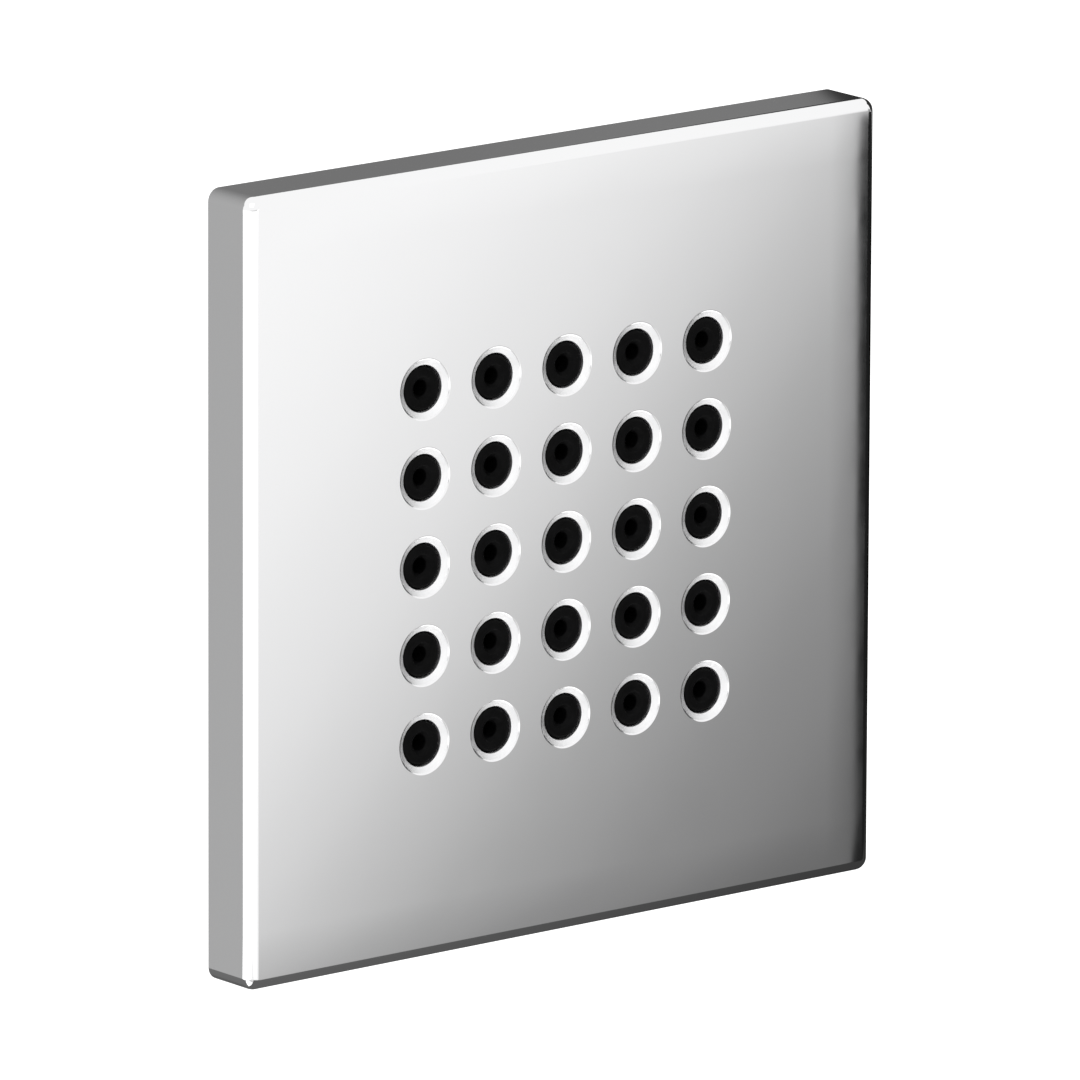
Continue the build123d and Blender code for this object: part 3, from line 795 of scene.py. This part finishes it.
class BODYJET_OT_strainer_mesh(bpy.types.Operator):
    """Weave the wire mesh of the strainer, in its rolled rim"""

    bl_idname = "bodyjet.strainer_mesh"
    bl_label = "Strainer mesh"

    def execute(self, context):
        inlet = context.scene.bodyjet_inlet
        radius, low, high = MESH_HIGH.x, MESH_LOW.y, MESH_HIGH.y
        rim = high - low
        wire, pitch = inlet.wire_diameter / 2, inlet.wire_pitch
        skin = Skin()
        middle = (low + high) / 2
        reach = radius - rim / 2
        ring = [(reach, low), (radius, low), (radius, high), (radius - rim, high), (radius - rim, low)]
        ring.append(ring[0])
        turned(skin, ring, [RIM_ROUND * rim] * 4, -1.0)

        # A wire is a tube with a few sides. Its middle rises and falls as a cosine over two pitches, so that
        # it passes over one crossing wire and under the next. Two more rows at each end cap it: one repeats
        # the end of the tube, and the last shrinks to a point. A wire along Z is one along X with the axes
        # exchanged and the weave reversed.
        half_count = int((reach - wire) / pitch)
        angle = np.arange(WIRE_SIDES) * 2 * np.pi / WIRE_SIDES
        for number in range(-half_count, half_count + 1):
            half = np.sqrt(reach**2 - (number * pitch) ** 2)
            steps = int(half / pitch * WEAVE_STEPS) + 2
            end = np.concatenate([[-1.0, -1.0], np.zeros(steps), [1.0, 1.0]])[:, None]
            share = np.concatenate([[-1.0, -1.0], np.linspace(-1.0, 1.0, steps), [1.0, 1.0]])[:, None]
            thick = wire * np.concatenate([[0.0], np.ones(steps + 2), [0.0]])[:, None]
            weave = wire * np.cos(np.pi * (half * share / pitch + number))
            run, cap = (np.repeat(column, WIRE_SIDES, axis=1) for column in (half * share, end))
            beside = number * pitch + thick * np.cos(angle)
            lift = thick * np.sin(angle)
            side = (1.0 - abs(end)) * np.stack([np.cos(angle), np.sin(angle)])[:, None]
            over = np.stack([run, middle + weave + lift, beside], axis=-1)
            under = np.stack([beside, middle - weave + lift, run], axis=-1)
            skin.grid(over, np.stack([cap, side[1], side[0]], axis=-1))
            skin.grid(under, np.stack([side[0], side[1], cap], axis=-1))
        steel = steel_finish("mesh_steel", context.scene.bodyjet_finish, 1.0)
        piece = skin.build("woven_strainer_mesh", steel)
        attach(piece, "inlet")
        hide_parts("strainer_mesh")
        return {"FINISHED"}


class BODYJET_OT_wall_gasket(bpy.types.Operator):
    """Make the soft foam frame behind the plate's rim"""

    bl_idname = "bodyjet.wall_gasket"
    bl_label = "Wall gasket"

    def execute(self, context):
        outer, inner = GASKET_HIGH.x, GASKET_HIGH.x - context.scene.bodyjet_inlet.gasket_width
        middle = (outer + inner) / 2
        low, high = GASKET_LOW.y, GASKET_HIGH.y
        corner = context.scene.bodyjet_plate.pocket_radius
        skin = Skin()
        section = [(middle, low), (outer, low), (outer, high), (inner, high), (inner, low), (middle, low)]
        squared(skin, [(*point, corner) for point in section], [GASKET_SOFT] * 4, -1.0)
        piece = skin.build("foam_wall_gasket", foam_finish(context.scene.bodyjet_finish))
        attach(piece, "head")
        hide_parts("wall_gasket")
        return {"FINISHED"}


class BODYJET_OT_inner_parts(bpy.types.Operator):
    """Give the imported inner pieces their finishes"""

    bl_idname = "bodyjet.inner_parts"
    bl_label = "Inner parts"

    def execute(self, context):
        finish = context.scene.bodyjet_finish
        white = plastic_finish("slide_plastic", finish.white_plastic, 0.35, 0.5)
        dress("jet_housing", brass_finish("housing_brass", finish, 2600.0))
        dress("snap_ring", steel_finish("spring_steel", finish, 0.7))
        dress("spigot_seal", rubber_finish(finish))
        dress("nozzle_carrier", plastic_finish("carrier_plastic", finish.white_plastic, 0.4, 0.55))
        dress("slide_ring", white)
        dress("thrust_washer", white)
        dress("strainer_frame", plastic_finish("strainer_plastic", finish.grey_plastic, 0.4, 0.55))
        dress("flow_restrictor", plastic_finish("restrictor_plastic", finish.green_plastic, 0.25, 0.35))
        return {"FINISHED"}


def pointing(direction, roll=0.0):
    """Turn of a camera or lamp that looks along a direction, upright, then rolled about its own axis."""
    return Vector(direction).to_track_quat("-Z", "Y").to_matrix() @ Matrix.Rotation(roll, 3, "Z")


def glow_card(name, corner, across, up, stops):
    """A studio card that only reflections see: a plane from a corner along two edges, whose glow runs along
    the first edge through (place, strength) stops."""
    mesh = bpy.data.meshes.new(name)
    mesh.from_pydata([corner, corner + across, corner + across + up, corner + up], [], [(0, 1, 2, 3)])
    uv = mesh.uv_layers.new(name="card")
    uv.data.foreach_set("uv", [0.0, 0.0, 1.0, 0.0, 1.0, 1.0, 0.0, 1.0])
    material = bpy.data.materials.new(name)
    material.use_nodes = True
    nodes, links = material.node_tree.nodes, material.node_tree.links
    nodes.clear()
    place = nodes.new("ShaderNodeUVMap")
    place.uv_map = "card"
    along = nodes.new("ShaderNodeSeparateXYZ")
    ramp = nodes.new("ShaderNodeValToRGB")
    ramp.color_ramp.interpolation = "CARDINAL"
    elements = ramp.color_ramp.elements
    while len(elements) < len(stops):
        elements.new(0.5)
    for element, (position, strength) in zip(elements, stops):
        element.position = position
        element.color = (strength, strength, strength, 1.0)
    glow = nodes.new("ShaderNodeEmission")
    out = nodes.new("ShaderNodeOutputMaterial")
    links.new(place.outputs["UV"], along.inputs["Vector"])
    links.new(along.outputs["X"], ramp.inputs["Fac"])
    links.new(ramp.outputs["Color"], glow.inputs["Color"])
    links.new(glow.outputs["Emission"], out.inputs["Surface"])
    mesh.materials.append(material)
    card = bpy.data.objects.new(name, mesh)
    bpy.context.scene.collection.objects.link(card)
    card.visible_camera = False
    card.visible_diffuse = False
    card.visible_shadow = False
    card.visible_transmission = False


class BODYJET_OT_stage(bpy.types.Operator):
    """Set the floor, the soft light, the reflection cards and the camera"""

    bl_idname = "bodyjet.stage"
    bl_label = "Studio"

    def execute(self, context):
        scene = context.scene
        stage = scene.bodyjet_stage
        azimuth, elevation = stage.azimuth, stage.elevation
        towards = Vector(
            (np.sin(azimuth) * np.cos(elevation), -np.cos(azimuth) * np.cos(elevation), np.sin(elevation))
        )
        turn = pointing(-towards, stage.roll)
        aim = turn @ Vector((stage.aim_right, -stage.aim_down, 0.0))
        camera = bpy.data.objects.new("camera", bpy.data.cameras.new("camera"))
        camera.data.lens = stage.lens
        camera.data.sensor_width = SENSOR_WIDTH
        camera.data.clip_end = VIEW_END
        camera.matrix_world = Matrix.Translation(aim + towards * stage.distance) @ turn.to_4x4()
        scene.collection.objects.link(camera)
        scene.camera = camera
        scene.view_settings.view_transform = "Standard"
        self.make_floor(stage)
        self.make_world(scene)
        self.make_cards(towards)
        self.make_lamps(scene)
        return {"FINISHED"}

    def make_floor(self, stage):
        """A wide pale floor, lifted to white where the camera or a mirror sees it."""
        height = PLATE_LOW.z - stage.floor_drop
        corners = [(-1.0, -1.0), (1.0, -1.0), (1.0, 1.0), (-1.0, 1.0)]
        mesh = bpy.data.meshes.new("floor")
        mesh.from_pydata([(x * FLOOR_REACH, y * FLOOR_REACH, height) for x, y in corners], [], [(0, 1, 2, 3)])
        made = Finish("floor_paint", stage.background, Roughness=0.9, Specular_IOR_Level=0.0)
        made.tinted(made.spread(made.noise(3.0), 0.0, 1.0), shade(stage.background, 0.985), stage.background)
        path = made.node("LightPath").outputs
        seen = made.maths("MAXIMUM", path["Is Camera Ray"], path["Is Glossy Ray"])
        seen = made.maths("MAXIMUM", seen, path["Is Transmission Ray"])
        made.shader.inputs["Emission Color"].default_value = (1.0, 1.0, 1.0, 1.0)
        made.link(made.maths("MULTIPLY", seen, FLOOR_LIFT), made.shader.inputs["Emission Strength"])
        mesh.materials.append(made.material)
        floor = bpy.data.objects.new("floor", mesh)
        bpy.context.scene.collection.objects.link(floor)

    def make_world(self, scene):
        """An even white surround."""
        world = bpy.data.worlds.new("studio")
        world.use_nodes = True
        background = world.node_tree.nodes["Background"]
        background.inputs["Color"].default_value = (1.0, 1.0, 1.0, 1.0)
        background.inputs["Strength"].default_value = 1.0
        scene.world = world

    def make_cards(self, towards):
        """Cards that the plate mirrors. Two lie across the camera's line of sight as the front mirrors it: a
        graded one, from white to grey, and the dark flag of the right edge. The others are dark flags for
        the right side, its upper corner and the lower edges, a grey card behind for the top and the left
        side, and two pale ones, on the floor and far off, that tone the front for other views."""
        front = Vector((-towards.x, towards.y, -towards.z))
        right = Vector((-front.y, front.x, 0.0)).normalized()
        up = front.cross(right)
        along = right * np.cos(GRADED_TURN) + up * np.sin(GRADED_TURN)
        beside = up * np.cos(GRADED_TURN) - right * np.sin(GRADED_TURN)
        width, height = GRADED_SIZE
        corner = front * GRADED_DISTANCE + along * GRADED_BEGIN - beside * height / 2
        glow_card("graded_card", corner, along * width, beside * height, GRADED_STOPS)
        width, height = EDGE_SIZE
        corner = front * EDGE_DISTANCE + right * EDGE_BEGIN - up * height / 2
        glow_card("edge_flag", corner, right * width, up * height, EDGE_STOPS)
        for name, (place, first, second, stops) in CARDS.items():
            glow_card(name, Vector(place), Vector(first), Vector(second), stops)

    def make_lamps(self, scene):
        """One large soft lamp above the left shoulder of the camera."""
        lamp = bpy.data.lights.new("soft_lamp", "AREA")
        lamp.size = LAMP_SIZE
        lamp.energy = LAMP_POWER
        piece = bpy.data.objects.new("soft_lamp", lamp)
        piece.matrix_world = Matrix.Translation(LAMP_PLACE) @ pointing(-LAMP_PLACE).to_4x4()
        scene.collection.objects.link(piece)


class BODYJET_PT_panel(bpy.types.Panel):
    """Lists the pieces and their sizes in the sidebar"""

    bl_idname = "BODYJET_PT_panel"
    bl_label = "Shower body jet"
    bl_space_type = "VIEW_3D"
    bl_region_type = "UI"
    bl_category = "Body Jet"

    def draw(self, context):
        for operator in OPERATORS:
            self.layout.operator(operator.bl_idname)
        for name in SETTINGS:
            group = getattr(context.scene, name)
            for prop in group.bl_rna.properties:
                if prop.identifier not in {"rna_type", "name"}:
                    self.layout.prop(group, prop.identifier)


OPERATORS = (
    BODYJET_OT_face_plate,
    BODYJET_OT_nozzle_mat,
    BODYJET_OT_inlet_nipple,
    BODYJET_OT_screws,
    BODYJET_OT_strainer_mesh,
    BODYJET_OT_wall_gasket,
    BODYJET_OT_inner_parts,
    BODYJET_OT_stage,
)
SETTINGS = {
    "bodyjet_plate": BodyJetPlate,
    "bodyjet_inlet": BodyJetInlet,
    "bodyjet_finish": BodyJetFinish,
    "bodyjet_stage": BodyJetStage,
}


def register():
    for group in SETTINGS.values():
        bpy.utils.register_class(group)
    for name, group in SETTINGS.items():
        setattr(bpy.types.Scene, name, bpy.props.PointerProperty(type=group))
    for entry in (*OPERATORS, BODYJET_PT_panel):
        bpy.utils.register_class(entry)


def unregister():
    for entry in (BODYJET_PT_panel, *reversed(OPERATORS)):
        bpy.utils.unregister_class(entry)
    for name, group in SETTINGS.items():
        delattr(bpy.types.Scene, name)
        bpy.utils.unregister_class(group)


def main():
    """Registers the classes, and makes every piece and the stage."""
    register()
    bpy.ops.bodyjet.face_plate()
    bpy.ops.bodyjet.nozzle_mat()
    bpy.ops.bodyjet.inlet_nipple()
    bpy.ops.bodyjet.screws()
    bpy.ops.bodyjet.strainer_mesh()
    bpy.ops.bodyjet.wall_gasket()
    bpy.ops.bodyjet.inner_parts()
    bpy.ops.bodyjet.stage()


if __name__ == "__main__":
    main()
